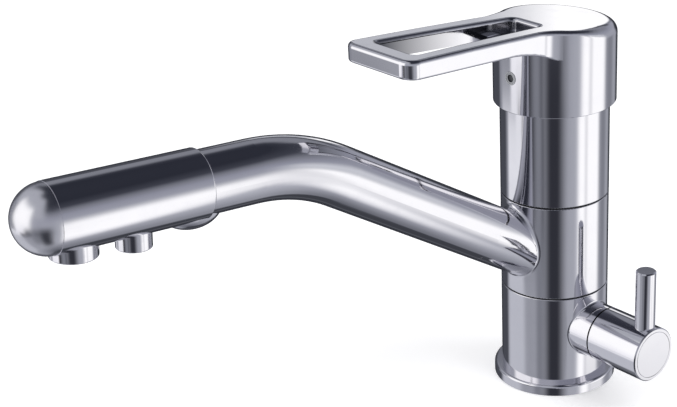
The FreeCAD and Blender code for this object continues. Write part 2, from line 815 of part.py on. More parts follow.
def hollow_skirt(body):
    """The cavity over the cartridge, with the boss that the stem enters."""
    cavity = d.skirt_radius - d.skirt_wall
    drill(body, "XY_Plane", d.skirt_rim - 1, d.cavity_roof - d.skirt_rim + 1, cavity, backwards=True)
    raise_disc(body, "XY_Plane", d.boss_bottom, d.cavity_roof - d.boss_bottom, d.boss_radius)
    rib = new_sketch(body, "XY_Plane", d.boss_bottom + 2)
    draw_box(rib, -6, -cavity - 0.6, 6, -5)
    pad(body, rib, d.cavity_roof - d.boss_bottom - 2)
    socket = new_sketch(body, "XY_Plane", d.boss_bottom)
    half_width = d.stem_width / 2 + 0.05
    half_depth = d.stem_depth / 2 + 0.05
    draw_box(socket, -half_width, -half_depth, half_width, half_depth)
    pocket(body, socket, d.stem_top - d.boss_bottom + 0.2, backwards=True)
    drill(body, "XZ_Plane", d.skirt_radius + 2, d.skirt_radius - 1, 2.1, 0, d.grub_height)
    drill(body, "XZ_Plane", d.skirt_radius + 2, 6.5, d.index_radius + 0.05, 0, d.grub_height)
    dress_rims(body, "Chamfer", d.edge_break, [(d.skirt_radius, d.skirt_rim), (cavity, d.skirt_rim)])


def make_handle_fittings():
    stem = new_body("cartridge_stem")
    bar = new_sketch(stem, "XY_Plane", d.stem_neck)
    draw_box(bar, -d.stem_width / 2, -d.stem_depth / 2, d.stem_width / 2, d.stem_depth / 2)
    pad(stem, bar, d.stem_top - d.stem_neck)
    raise_disc(stem, "XY_Plane", d.stem_ball_height, d.stem_neck - d.stem_ball_height, 2.6)
    ball = stem.newObject("PartDesign::AdditiveSphere", "stem_ball")
    ball.setExpression("Radius", d.stem_ball_radius.text)
    support = next(item for item in stem.Origin.OriginFeatures if item.Role == "XY_Plane")
    ball.AttachmentSupport = [(support, "")]
    ball.MapMode = "FlatFace"
    ball.setExpression("AttachmentOffset.Base.z", d.stem_ball_height.text)
    doc.recompute()
    drill(stem, "YZ_Plane", 6, 12, d.pin_radius + 0.05, 0, d.handle_pivot)
    grub = new_body("grub_screw")
    raise_disc(grub, "XZ_Plane", d.stem_depth / 2, 8, 2.1, 0, d.grub_height)
    hexagon_socket(grub, "XZ_Plane", d.stem_depth / 2 + 8, 1.25, 2.5, 0, d.grub_height)
    plug = new_body("index_plug")
    raise_disc(plug, "XZ_Plane", d.skirt_radius - 4, 4.3, d.index_radius, 0, d.grub_height)
    drill(plug, "XZ_Plane", d.skirt_radius + 0.3, 0.5, 1.7, 0, d.grub_height)


def hexagon_socket(body, plane, start, radius, depth, x, y):
    sketch = new_sketch(body, plane, start)
    corners = []
    for step in range(6):
        angle = math.radians(60 * step)
        corners.append((x + radius * math.cos(angle), y + radius * math.sin(angle)))
    draw_outline(sketch, corners)
    pocket(body, sketch, depth)


# ---------------------------------------------------------------- spout


def make_spout_collar():
    """Ring that turns on the neck, with the cast stub that carries the tube."""
    body = new_body("spout_collar", SWING)
    low = d.neck_bottom + d.slide_ring_height + d.face_gap
    high = d.neck_top - d.slide_ring_height - d.face_gap
    raise_disc(body, "XY_Plane", low, high - low, d.body_radius)
    dress_rims(body, "Fillet", d.edge_break, [(d.body_radius, low), (d.body_radius, high)])
    stub = tilted_sketch(body, d.stub_length)
    draw_circle(stub, d.tube_radius)
    pad(body, stub, d.stub_length - 15, backwards=True)
    fillet_junction(body)
    drill(body, "XY_Plane", high, high - low, d.neck_radius + d.running_gap)
    waterway(body, d.stub_length, d.socket_depth, d.socket_radius)
    root = d.stub_length - d.socket_depth - 6
    waterway(body, d.stub_length, d.stub_length - root, d.tube_bore)
    waterway(body, root, 22, 4.5, d.mixed_offset)
    waterway(body, root, 24, d.pipe_radius, -d.pipe_offset)


def waterway(body, distance, depth, radius, offset=0.0):
    """A round hole down the rising tube's direction, starting at a distance along it."""
    sketch = tilted_sketch(body, distance)
    draw_circle(sketch, radius, 0, offset)
    pocket(body, sketch, depth)


def fillet_junction(body):
    numbers = []
    for number, edge in local_edges(body):
        box = edge.BoundBox
        if box.XLength > d.tube_radius.number and box.YLength > 1 and box.YMax < -10 and box.ZLength > 20:
            centre_out = abs(math.hypot(edge.Vertexes[0].X, edge.Vertexes[0].Y) - d.body_radius.number)
            if centre_out < 0.01:
                numbers.append(number)
    dress(body, "Fillet", d.junction_fillet, numbers)


def tube_route(body, first_run, radius, last_run):
    """Straight, arc, straight: the line that the tube follows, in the local YZ plane."""
    turn_angle = d.spout_rise - d.head_rise
    sketch = new_sketch(body, "YZ_Plane")
    end_y = -(radius - radius * cosine(turn_angle))
    end_z = first_run + radius * sine(turn_angle)
    tip_y = end_y - last_run * sine(turn_angle)
    tip_z = end_z + last_run * cosine(turn_angle)
    bend_start = FreeCAD.Vector(0, first_run.number, 0)
    bend_end = FreeCAD.Vector(end_y.number, end_z.number, 0)
    tip = FreeCAD.Vector(tip_y.number, tip_z.number, 0)
    circle = Part.Circle(FreeCAD.Vector(-radius.number, first_run.number, 0), Z_AXIS, radius.number)
    rising = sketch.addGeometry(Part.LineSegment(FreeCAD.Vector(), bend_start), False)
    arc = sketch.addGeometry(Part.ArcOfCircle(circle, 0, math.radians(turn_angle.number)), False)
    level = sketch.addGeometry(Part.LineSegment(bend_end, tip), False)
    sketch.addConstraint(Sketcher.Constraint("Coincident", rising, 2, arc, 1))
    sketch.addConstraint(Sketcher.Constraint("Coincident", arc, 2, level, 1))
    pin_point(sketch, rising, 1, 0, 0)
    pin_point(sketch, rising, 2, 0, first_run)
    pin_point(sketch, arc, 3, -radius, first_run)
    index = sketch.addConstraint(Sketcher.Constraint("DistanceX", -1, 1, arc, 2, end_y.number))
    sketch.setExpression(f"Constraints[{index}]", end_y.text)
    pin_point(sketch, level, 2, tip_y, tip_z)
    return sketch


def sweep(body, kind, route, radius):
    section = new_sketch(body, "XY_Plane")
    draw_circle(section, radius)
    item = body.newObject("PartDesign::" + kind, body.Label + "_swept")
    item.Profile = section
    item.Spine = (route, ["Edge1", "Edge2", "Edge3"])
    doc.recompute()
    return item


def bent_pipe(label, start, offset, outer, bore, end_from_tip):
    """A hollow pipe that starts on the rising run and ends inside the head."""
    body = new_body(label, tube_frame(start.number, offset.number))
    turn_angle = d.spout_rise - d.head_rise
    setback = d.bend_radius * tangent(turn_angle / 2)
    first_run = d.bend_reach / cosine(d.spout_rise) - setback - start
    last_run = d.head_reach - setback - end_from_tip
    route = tube_route(body, first_run, d.bend_radius + offset, last_run)
    sweep(body, "AdditivePipe", route, outer)
    sweep(body, "SubtractivePipe", route, bore)
    return body


def make_spout_pipes():
    start = d.stub_length - d.socket_depth
    tube = bent_pipe("spout_tube", start, as_dim(0), d.tube_radius, d.tube_bore, d.head_seat + 1.3)
    spigot = new_sketch(tube, "XY_Plane")
    draw_circle(spigot, d.tube_radius + 1)
    draw_circle(spigot, d.socket_radius)
    pocket(tube, spigot, d.socket_depth, backwards=True)
    bent_pipe("filtered_water_pipe", as_dim(20), -d.pipe_offset, d.pipe_radius, d.pipe_bore,
              d.filter_place + 4.3)


# ---------------------------------------------------------------- spout head


def make_spout_head():
    """Sleeve over the end of the tube, with the two nozzle bosses and a low screw boss below."""
    body = new_body("spout_head", head_frame())
    turn(body, [(0, d.cap_length), (d.head_radius, d.cap_length), (d.head_radius, d.head_rear),
                (0, d.head_rear)])
    dress_rims(body, "Fillet", 0.8, [(d.head_radius, d.head_rear)])
    hump = body.newObject("PartDesign::AdditiveEllipsoid", "screw_boss")
    support = next(item for item in body.Origin.OriginFeatures if item.Role == "XY_Plane")
    hump.AttachmentSupport = [(support, "")]
    hump.MapMode = "FlatFace"
    hump.setExpression("Radius1", d.hump_length.text)
    hump.setExpression("Radius2", d.hump_radius.text)
    hump.setExpression("Radius3", d.hump_radius.text)
    hump.setExpression("AttachmentOffset.Base.y", (d.hump_depth - d.hump_radius).text)
    hump.setExpression("AttachmentOffset.Base.z", d.hump_place.text)
    doc.recompute()
    drill(body, "XY_Plane", d.cap_length, d.head_rear, d.head_bore, backwards=True)
    drill(body, "XY_Plane", d.head_seat, d.head_rear, d.tube_radius + 0.03, backwards=True)
    nozzle_boss(body, d.aerator_place, d.aerator_radius, 8, d.aerator_seat)
    nozzle_boss(body, d.filter_place, d.filter_radius, -1, d.filter_seat)
    drill(body, "XZ_Plane", -7, 12, d.aerator_radius - 1.25, 0, d.aerator_place)
    drill(body, "XZ_Plane", -3, 14, d.filter_radius - 2.0, 0, d.filter_place)
    drill(body, "XY_Plane", d.filter_place + 4.3, 4, d.pipe_radius, 0, d.pipe_offset, backwards=True)
    drill(body, "XZ_Plane", -d.tube_radius, 6, 2.0, 0, d.hump_place - 2)


def nozzle_boss(body, place, radius, low, high):
    """A round boss below the head's axis; depths are measured down from the axis."""
    raise_disc(body, "XZ_Plane", -as_dim(low), high - low, radius, 0, place, backwards=True)


def make_end_cap():
    """Domed cap that plugs into the front of the sleeve."""
    cap = new_body("head_end_cap", head_frame())
    sketch = new_sketch(cap, "XZ_Plane")
    length = d.cap_length
    lip = d.head_bore - 0.05
    middle = FreeCAD.Vector(0, length.number, 0)
    circle = Part.Circle(middle, Z_AXIS, length.number)
    arc = sketch.addGeometry(Part.ArcOfCircle(circle, -math.pi / 2, 0), False)
    pin_point(sketch, arc, 3, 0, length)
    pin_point(sketch, arc, 1, 0, 0)
    index = sketch.addConstraint(Sketcher.Constraint("DistanceY", -1, 1, arc, 2, length.number))
    sketch.setExpression(f"Constraints[{index}]", length.text)
    corners = [(length, length), (lip, length), (lip, length + 4), (0, length + 4), (0, 0)]
    places = [FreeCAD.Vector(as_dim(x).number, as_dim(y).number, 0) for x, y in corners]
    lines = []
    for start, end in zip(places, places[1:]):
        lines.append(sketch.addGeometry(Part.LineSegment(start, end), False))
    join_ends(sketch, [arc] + lines)
    for line, (x, y) in list(zip(lines, corners))[1:]:
        pin_point(sketch, line, 1, x, y)
    item = cap.newObject("PartDesign::Revolution", "dome")
    item.Profile = sketch
    item.ReferenceAxis = (sketch, ["V_Axis"])
    item.Angle = 360
    doc.recompute()
    drill(cap, "XY_Plane", length + 4, 10, lip - 2)
    relief = new_sketch(cap, "XY_Plane", length + 4)
    draw_box(relief, -d.aerator_radius, 6, d.aerator_radius, d.head_radius)
    pocket(cap, relief, 4)


def outlet(label, place, seat, bottom, flange, thread, opening, thread_top):
    """A threaded ring screwed into a nozzle boss; heights are depths below the head's axis."""
    ring = turned_piece(label, [
        (opening, thread_top), (thread, thread_top), (thread, seat), (flange, seat), (flange, bottom),
        (opening, bottom)], nozzle_frame(place))
    dress_rims(ring, "Fillet", 0.5, [(flange, bottom)])
    return ring


def jet_insert(label, place, radius, low, high, jets, jet_radius, ring_radius):
    """Plastic jet plate: one jet in the middle and a ring of them round it."""
    body = new_body(label, nozzle_frame(place))
    raise_disc(body, "XY_Plane", low, high - low, radius)
    drill(body, "XY_Plane", high, 2, jet_radius)
    sketch = new_sketch(body, "XY_Plane", high)
    draw_circle(sketch, jet_radius, ring_radius, 0)
    jet = pocket(body, sketch, 2)
    pattern = body.newObject("PartDesign::PolarPattern", label + "_jets")
    pattern.Originals = [jet]
    pattern.Axis = (sketch, ["N_Axis"])
    pattern.Angle = 360
    pattern.Occurrences = jets
    body.Tip = pattern
    doc.recompute()


def make_head_fittings():
    ring_piece("head_seal", d.tube_bore + 0.2, d.tube_radius - 0.05, d.head_seat, d.head_seat + 1.25,
               head_frame())
    screw = new_body("head_set_screw", head_frame())
    place = d.hump_place - 2
    length = d.hump_depth - d.tube_radius - 0.6
    raise_disc(screw, "XZ_Plane", -d.tube_radius, length, 2.0, 0, place, backwards=True)
    aerator_thread = d.aerator_radius - 1.3
    aerator_opening = aerator_thread - 0.9
    outlet("aerator_ring", d.aerator_place, d.aerator_seat, d.aerator_bottom, d.aerator_radius,
           aerator_thread, aerator_opening, 9.2)
    jet_insert("aerator_insert", d.aerator_place, aerator_opening, as_dim(10), d.aerator_bottom - 0.6,
               8, 1.1, 4.4)
    ring_piece("aerator_washer", 5.2, aerator_thread, 8.0, 9.2, nozzle_frame(d.aerator_place))
    filter_thread = d.filter_radius - 2.05
    filter_opening = filter_thread - 0.8
    outlet("filter_nozzle_ring", d.filter_place, d.filter_seat, d.filter_bottom, d.filter_radius,
           filter_thread, filter_opening, 10.0)
    jet_insert("filter_nozzle_insert", d.filter_place, filter_opening, as_dim(11), d.filter_bottom - 0.6,
               6, 0.7, 2.6)


# ---------------------------------------------------------------- filtered water valve


def make_valve():
    """Quarter turn ceramic valve in the branch; heights run out along the branch."""
    bush_bore = d.spindle_radius + 0.08
    cavity = d.chamber_radius - 1.2
    seat = d.chamber_end + 4.4
    disc_top = seat + 2.4
    shoulder = seat + 9.8
    flange = d.branch_end + 1.5
    turned_piece("filter_headwork", [
        (cavity, seat - 2), (d.chamber_radius, seat - 2), (d.chamber_radius, flange),
        (10.2, flange), (10.2, flange + 1.8), (8.0, flange + 1.8), (8.0, 44), (bush_bore, 44),
        (bush_bore, shoulder), (cavity, shoulder)], VALVE)
    fixed = new_body("filter_fixed_disc", VALVE)
    raise_disc(fixed, "XY_Plane", seat, disc_top - seat, cavity)
    moving = new_body("filter_moving_disc", VALVE)
    raise_disc(moving, "XY_Plane", disc_top + d.face_gap, 2.3, cavity - 0.1)
    for side in (-1, 1):
        drill(fixed, "XY_Plane", disc_top, disc_top - seat, 1.9, 3.8 * side, 0)
        drill(moving, "XY_Plane", disc_top + 3, 4, 1.9, 3.8 * side, 0)
    spindle = turned_piece("filter_spindle", [
        (0, disc_top + 2.35), (cavity - 0.15, disc_top + 2.35), (cavity - 0.15, shoulder - 0.1),
        (d.spindle_radius, shoulder - 0.1), (d.spindle_radius, 53), (0, 53)], VALVE)
    drill(spindle, "XY_Plane", 53, 9, 1.6)
    o_rings("branch_seal", VALVE, [(d.chamber_radius + 0.75, 0.7, 0, 0, d.branch_end + 0.75)])


def make_knob():
    """Knob sleeve that turns on the branch's axis, with its upright lever pin."""
    knob = turned_piece("knob_sleeve", [
        (d.knob_bore, d.knob_start), (d.branch_radius, d.knob_start), (d.branch_radius, d.knob_end),
        (d.knob_bore - 0.2, d.knob_end), (d.knob_bore - 0.2, d.knob_recess), (3.9, d.knob_recess),
        (3.9, d.knob_recess - 2.4), (1.75, d.knob_recess - 2.4), (1.75, 53), (d.spindle_radius, 53),
        (d.spindle_radius, d.knob_web), (d.knob_bore, d.knob_web)], VALVE)
    dress_rims(knob, "Chamfer", 0.5, [(d.branch_radius, d.knob_end)])
    dress_rims(knob, "Chamfer", 0.3, [(d.branch_radius, d.knob_start)])
    seat = 11.4
    drill(knob, "YZ_Plane", -d.branch_radius - 1, d.branch_radius + 1 - seat, d.lever_pin_radius + 0.02,
          0, d.lever_pin_place, backwards=True)
    drill(knob, "YZ_Plane", -d.branch_radius - 1, d.branch_radius - 6, 2.5,
          0, d.lever_pin_place, backwards=True)
    foot = FreeCAD.Vector(d.lever_pin_place.number, 0, d.valve_height.number)
    pin = turned_piece("pin_lever", [
        (0, 7.05), (2.45, 7.05), (2.45, seat), (d.lever_pin_radius, seat),
        (d.lever_pin_radius, d.lever_pin_top - d.valve_height), (0, d.lever_pin_top - d.valve_height)],
        FreeCAD.Placement(foot, FreeCAD.Rotation()))
    dress_rims(pin, "Chamfer", 0.5, [(d.lever_pin_radius, d.lever_pin_top - d.valve_height)])
    cap = ring_piece("knob_end_cap", 0, d.knob_bore - 0.25, d.knob_recess, d.knob_end, VALVE)
    dress_rims(cap, "Chamfer", 0.2, [(d.knob_bore - 0.25, d.knob_end)])
    screw = turned_piece("knob_screw", [
        (0, 46), (1.58, 46), (1.58, d.knob_recess - 2.4), (3.5, d.knob_recess - 2.4),
        (3.5, d.knob_recess - 0.2), (0, d.knob_recess - 0.2)], VALVE)
    hexagon_socket(screw, "XY_Plane", d.knob_recess - 0.2, 1.5, 1.5, 0, 0)


# ---------------------------------------------------------------- build

make_base()
make_lower_body()
make_neck_rings()
make_upper_body()
make_cartridge_fixed()
make_dome_cap()
make_turret()
make_mixing_slide()
make_lever_handle()
make_handle_fittings()
make_spout_collar()
make_spout_pipes()
make_spout_head()
make_end_cap()
make_head_fittings()
make_valve()
make_knob()

doc.recompute()
faults = [f"{item.Name} {item.State}" for item in doc.Objects if {"Invalid", "Error"} & set(item.State)]
faults += [f"{piece.Label} has no valid shape" for piece in PIECES
           if piece.Shape.isNull() or not piece.Shape.isValid()]
if faults:
    raise RuntimeError("; ".join(faults))
os.makedirs("parts", exist_ok=True)
for piece in PIECES:
    print(piece.Label, round(piece.Shape.Volume, 1), "mm3", len(piece.Shape.Solids), "solid")
    piece.Shape.exportStep(f"parts/{piece.Label}.step")
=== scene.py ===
# %% [markdown]
# This lesson dresses a three way filtered water tap for the studio.
# The rigid model of the tap is loaded first. It brings every turned and cast piece in its right place.
# Blender then adds the small things that the eye looks for, the finishes, the light and the camera.

import json
import math

import bpy
import bmesh
from mathutils import Matrix, Vector


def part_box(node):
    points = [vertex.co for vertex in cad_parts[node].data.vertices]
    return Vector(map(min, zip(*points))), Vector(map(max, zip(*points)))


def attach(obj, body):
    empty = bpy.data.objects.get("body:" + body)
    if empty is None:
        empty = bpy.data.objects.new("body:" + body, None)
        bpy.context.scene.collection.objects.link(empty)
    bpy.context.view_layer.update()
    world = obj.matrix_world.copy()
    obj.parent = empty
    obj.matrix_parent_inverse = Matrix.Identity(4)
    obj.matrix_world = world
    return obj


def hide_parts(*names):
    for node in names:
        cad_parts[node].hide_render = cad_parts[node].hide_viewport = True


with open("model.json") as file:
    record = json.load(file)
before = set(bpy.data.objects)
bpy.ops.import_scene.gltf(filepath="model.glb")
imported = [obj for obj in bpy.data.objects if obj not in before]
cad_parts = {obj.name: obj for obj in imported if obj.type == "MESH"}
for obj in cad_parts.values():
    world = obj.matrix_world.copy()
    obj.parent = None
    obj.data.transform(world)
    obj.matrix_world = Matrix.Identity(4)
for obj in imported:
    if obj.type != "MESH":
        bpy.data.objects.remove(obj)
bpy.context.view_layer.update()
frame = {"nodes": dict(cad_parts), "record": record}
nodes = frame["nodes"]
scene = bpy.context.scene
print("sub-parts loaded:", len(nodes))

# %% [markdown]
# Lengths on a tap are read in millimetres, and Blender works in metres, so one value turns one into
# the other. Colours are written as the hex values a colour picker shows. Blender's shaders want linear
# light instead, so one function does that change for every colour in the lesson.

# %% Units and colours
MM = 0.001


def linear(hex_colour):
    """A hex colour as linear red, green, blue and alpha."""
    channels = [int(hex_colour[place:place + 2], 16) / 255 for place in (1, 3, 5)]
    return [c / 12.92 if c <= 0.04045 else ((c + 0.055) / 1.055) ** 2.4 for c in channels] + [1.0]


print("mid grey is", round(linear("#808080")[0], 3), "in linear light")

# %% [markdown]
# The camera stands where the photographer stood: a little above the handle, in front and to the right
# of the spout. The lens is a long one, so the far side of the body is hardly smaller than the near side.
# An azimuth of 0 looks along +Y, and the camera rolls a little, because the picture leans to one side.
# The camera could be aimed with a Track To constraint, but its roll and its aim beside the tap are
# easier to say with three axes, so its matrix is built from them.

# %% Camera
AZIMUTH = math.radians(51.7)
ELEVATION = math.radians(23.3)
ROLL = math.radians(-3.0)
DISTANCE = 784.7 * MM
LOOK_AT_HEIGHT = 81.6 * MM
SHIFT_RIGHT = -96.5 * MM
SHIFT_UP = 6.2 * MM
FOCAL_PIXELS = 1752.3
IMAGE_WIDTH = 677
SENSOR_WIDTH = 36.0
NEAREST_SEEN = 0.01

to_camera = Vector((math.sin(AZIMUTH) * math.cos(ELEVATION),
                    -math.cos(AZIMUTH) * math.cos(ELEVATION), math.sin(ELEVATION)))
right = Vector((math.cos(AZIMUTH), math.sin(AZIMUTH), 0))
up = to_camera.cross(right)
target = Vector((0, 0, LOOK_AT_HEIGHT)) + right * SHIFT_RIGHT + up * SHIFT_UP
rolled_right = right * math.cos(ROLL) + up * math.sin(ROLL)
rolled_up = up * math.cos(ROLL) - right * math.sin(ROLL)

camera_data = bpy.data.cameras.new("tap_camera")
camera_data.sensor_width = SENSOR_WIDTH
camera_data.lens = FOCAL_PIXELS / IMAGE_WIDTH * SENSOR_WIDTH
camera_data.clip_start = NEAREST_SEEN
camera = bpy.data.objects.new("tap_camera", camera_data)
scene.collection.objects.link(camera)
turned = Matrix((rolled_right, rolled_up, to_camera)).transposed().to_4x4()
camera.matrix_world = Matrix.Translation(target + to_camera * DISTANCE) @ turned
scene.camera = camera
print("camera at", [round(v, 4) for v in camera.location], "lens", round(camera_data.lens, 1), "mm")

# %% [markdown]
# A material is a small network of nodes. One function adds a node, sets its values and joins its inputs,
# and every finish below is built with it. A Texture Coordinate's Object output is measured in metres on
# these pieces, so a noise scale of 1 / 0.004 has grains about 4 mm across.

# %% Node helper
def add(tree, kind, settings=None, **links):
    """Add a node, set its properties and inputs, and return it.

    settings holds properties, such as operation. links holds inputs by name, with spaces written as _,
    and a value may be a number, a colour or another node's output socket.
    """
    node = tree.nodes.new(kind)
    for name, value in (settings or {}).items():
        setattr(node, name, value)
    for name, value in links.items():
        key = int(name[2:]) if name.startswith("in") and name[2:].isdigit() else name.replace("_", " ")
        if isinstance(value, bpy.types.NodeSocket):
            tree.links.new(value, node.inputs[key])
        else:
            node.inputs[key].default_value = value
    return node


def new_material(name):
    """An empty material with its output node: the material, its node tree and that node."""
    material = bpy.data.materials.new(name)
    material.use_nodes = True
    tree = material.node_tree
    tree.nodes.clear()
    output = tree.nodes.new("ShaderNodeOutputMaterial")
    return material, tree, output


def finish_material(tree, output, shader):
    """Join the last shader to the output."""
    tree.links.new(shader.outputs[0], output.inputs["Surface"])


# %% [markdown]
# Chrome plate: a thin layer of chromium over nickel, usually over a polished brass casting.
# It has next to no colour of its own, only a cool cast, and mirrors the room. Three things keep it
# from looking like a computer's mirror: the hand polished casting is very slightly wavy over a few
# centimetres, dried water marks some millimetres wide dull it here and there, and the polishing wheel
# leaves hairlines. Real hairlines are a few hundredths of a millimetre apart, too fine to show, so they
# are drawn 0.35 mm apart and very shallow.
# The domed cap at the spout's tip shows softer reflections in the photograph than the rest, so it is
# read as a satin plate, such as one over a blasted surface. That reading is a guess. The same plate is
# made a second time with a rougher surface, and the cap's reflections spread softly.

# %% Chrome plate
WAVE = 24 * MM
WATER_MARK = 9 * MM
DROPLET = 3.2 * MM
HAIRLINE = 0.35 * MM
HAIRLINE_STRETCH = 0.04
WAVE_DEPTH = 0.02 * MM
HAIRLINE_DEPTH = 0.0006 * MM
POLISHED, DULLED = 0.06, 0.13
DROPLET_DULLING = 0.03
SATIN = 0.16


def chrome_plate(name, shade=None, satin=0.0):
    """Chrome. shade makes the nodes of a 0 to 1 mask where shade is painted as a darker tint, and satin
    is added roughness.
    """
    material, tree, output = new_material(name)
    place = add(tree, "ShaderNodeTexCoord").outputs["Object"]
    wave = add(tree, "ShaderNodeTexNoise", Vector=place, Scale=1 / WAVE, Detail=1.0, Roughness=0.4)
    marks = add(tree, "ShaderNodeTexNoise", Vector=place, Scale=1 / WATER_MARK, Detail=5.0,
                Roughness=0.62)
    specks = add(tree, "ShaderNodeTexVoronoi", Vector=place, Scale=1 / DROPLET)
    stretched = add(tree, "ShaderNodeMapping", Vector=place, Scale=(1.0, 1.0, HAIRLINE_STRETCH))
    hairlines = add(tree, "ShaderNodeTexNoise", Vector=stretched.outputs[0], Scale=1 / HAIRLINE,
                    Detail=2.0)
    dull = add(tree, "ShaderNodeMapRange", Value=marks.outputs["Fac"], From_Min=0.48, From_Max=0.80,
               To_Min=POLISHED + satin, To_Max=DULLED + satin)
    dots = add(tree, "ShaderNodeMapRange", Value=specks.outputs["Distance"], From_Min=0.0, From_Max=0.18,
               To_Min=DROPLET_DULLING, To_Max=0.0)
    rough = add(tree, "ShaderNodeMath", {"operation": "ADD"}, in0=dull.outputs[0], in1=dots.outputs[0])
    tint = add(tree, "ShaderNodeMix", {"data_type": "RGBA"}, Factor=marks.outputs["Fac"],
               A=linear("#ecebee"), B=linear("#e6e5ea")).outputs["Result"]
    # Painted shade: where the mask is 1, the tint turns to a smoky dark grey.
    if shade:
        tint = add(tree, "ShaderNodeMix", {"data_type": "RGBA"}, Factor=shade(tree, place), A=tint,
                   B=linear("#4a4c53")).outputs["Result"]
    slow = add(tree, "ShaderNodeBump", Height=wave.outputs["Fac"], Strength=0.6, Distance=WAVE_DEPTH)
    fine = add(tree, "ShaderNodeBump", Height=hairlines.outputs["Fac"], Strength=0.5,
               Distance=HAIRLINE_DEPTH, Normal=slow.outputs[0])
    shader = add(tree, "ShaderNodeBsdfPrincipled", Base_Color=tint, Metallic=1.0,
                 Roughness=rough.outputs[0], Normal=fine.outputs[0])
    finish_material(tree, output, shader)
    return material


CHROME = chrome_plate("bright_chrome_plate")
SATIN_CHROME = chrome_plate("satin_chrome_plate", satin=SATIN)
print("chrome nodes:", len(CHROME.node_tree.nodes))

# %% [markdown]
# The photograph shows the walls of the finger window in the lever dark, as shade in the deep window. Why
# isn't known: the walls may mirror each other and the dark column below, or the plate may be thinner
# there. The studio alone left them lighter, so that shade is painted onto the same plate as a darker
# tint. The mask is 1 between the lever's two rails, from the end of the pocket on the crown to the tip's
# bridge, and 0 on the rails' tops. It widens towards the tip as the window does. Cutting the casting's
# faces at the window's edge and giving them a second material would also paint it, but the mask leaves
# the casting's mesh alone.

# %% Painted shade in the finger window
POCKET_END, WINDOW_START, WINDOW_END = -16.0 * MM, -31.0 * MM, -91.6 * MM
HALF_WIDTH_AT_START, HALF_WIDTH_AT_END = 8.5 * MM, 12.6 * MM
WINDOW_BOTTOM = 163.0 * MM
SIDE_FADE, POCKET_FADE, TIP_FADE, BOTTOM_FADE = 0.3 * MM, 3.0 * MM, 0.5 * MM, 1.5 * MM


def window_painted_shade_mask(tree, place):
    """Painted shade: 1 inside the lever's finger window, where the plate is tinted darker, and 0 outside
    it.
    """
    parts = add(tree, "ShaderNodeSeparateXYZ", Vector=place)
    along, height = parts.outputs["Y"], parts.outputs["Z"]
    half_width = add(tree, "ShaderNodeMapRange", Value=along, From_Min=WINDOW_START, From_Max=WINDOW_END,
                     To_Min=HALF_WIDTH_AT_START, To_Max=HALF_WIDTH_AT_END)
    side = add(tree, "ShaderNodeMath", {"operation": "ABSOLUTE"}, in0=parts.outputs["X"])
    inside = add(tree, "ShaderNodeMath", {"operation": "SUBTRACT"}, in0=half_width.outputs[0],
                 in1=side.outputs[0])
    edges = [(inside.outputs[0], -SIDE_FADE, SIDE_FADE),
             (along, POCKET_END, POCKET_END - POCKET_FADE),
             (along, WINDOW_END, WINDOW_END + TIP_FADE),
             (height, WINDOW_BOTTOM, WINDOW_BOTTOM + BOTTOM_FADE)]
    ramps = [add(tree, "ShaderNodeMapRange", Value=value, From_Min=off, From_Max=on).outputs[0]
             for value, off, on in edges]
    mask = ramps[0]
    for ramp in ramps[1:]:
        mask = add(tree, "ShaderNodeMath", {"operation": "MULTIPLY"}, in0=mask, in1=ramp).outputs[0]
    return mask


# The lever's chrome, with shade painted into its finger window as a darker tint.
LEVER_CHROME_WITH_PAINTED_SHADE = chrome_plate("chrome_plate_on_the_lever", window_painted_shade_mask)
print("lever chrome nodes:", len(LEVER_CHROME_WITH_PAINTED_SHADE.node_tree.nodes))

# %% [markdown]
# The pieces inside and below are plainer, and each gets the finish that its maker gives it.
# Brass and stainless steel turned on a lathe keep the tool's fine rings, which spread a highlight into
# a soft streak. Such rings are usually about 0.1 mm apart, so they are drawn three times as coarse.
# Brass also tarnishes in soft patches some millimetres wide, which a slow noise between two colours
# gives. At a scale of 1, one wave of Blender's Wave texture is WAVE_PERIOD long.

# %% Turned brass and steel
STAIN = 6 * MM
RING_DEPTH = 0.004 * MM
WAVE_PERIOD = 0.314
NOISE_LOW, NOISE_HIGH = 0.3, 0.7


def turned_metal(name, light, dark, roughness, ring_mm):
    """A metal with the fine rings of a lathe tool, ring_mm apart."""
    material, tree, output = new_material(name)
    place = add(tree, "ShaderNodeTexCoord").outputs["Object"]
    rings = add(tree, "ShaderNodeTexWave", {"wave_type": "BANDS", "bands_direction": "Z"}, Vector=place,
                Scale=WAVE_PERIOD / (ring_mm * MM), Distortion=0.3)
    stain = add(tree, "ShaderNodeTexNoise", Vector=place, Scale=1 / STAIN, Detail=4.0)
    colour = add(tree, "ShaderNodeMix", {"data_type": "RGBA"}, Factor=stain.outputs["Fac"],
                 A=linear(light), B=linear(dark))
    rough = add(tree, "ShaderNodeMapRange", Value=stain.outputs["Fac"], From_Min=NOISE_LOW,
                From_Max=NOISE_HIGH, To_Min=roughness - 0.05, To_Max=roughness + 0.08)
    bump = add(tree, "ShaderNodeBump", Height=rings.outputs["Fac"], Strength=0.4, Distance=RING_DEPTH)
    shader = add(tree, "ShaderNodeBsdfPrincipled", Base_Color=colour.outputs["Result"], Metallic=1.0,
                 Roughness=rough.outputs[0], Normal=bump.outputs[0])
    finish_material(tree, output, shader)
    return material


# Free cutting brass, turned: yellow and warm, with dull tarnished patches.
BRASS = turned_metal("turned_brass", "#c9a25a", "#a8803e", 0.28, 0.35)
# Stainless steel, turned: a neutral grey with hardly a stain.
STEEL = turned_metal("turned_stainless_steel", "#b9bbbe", "#9da0a5", 0.24, 0.30)
print("turned metals:", BRASS.name, STEEL.name)

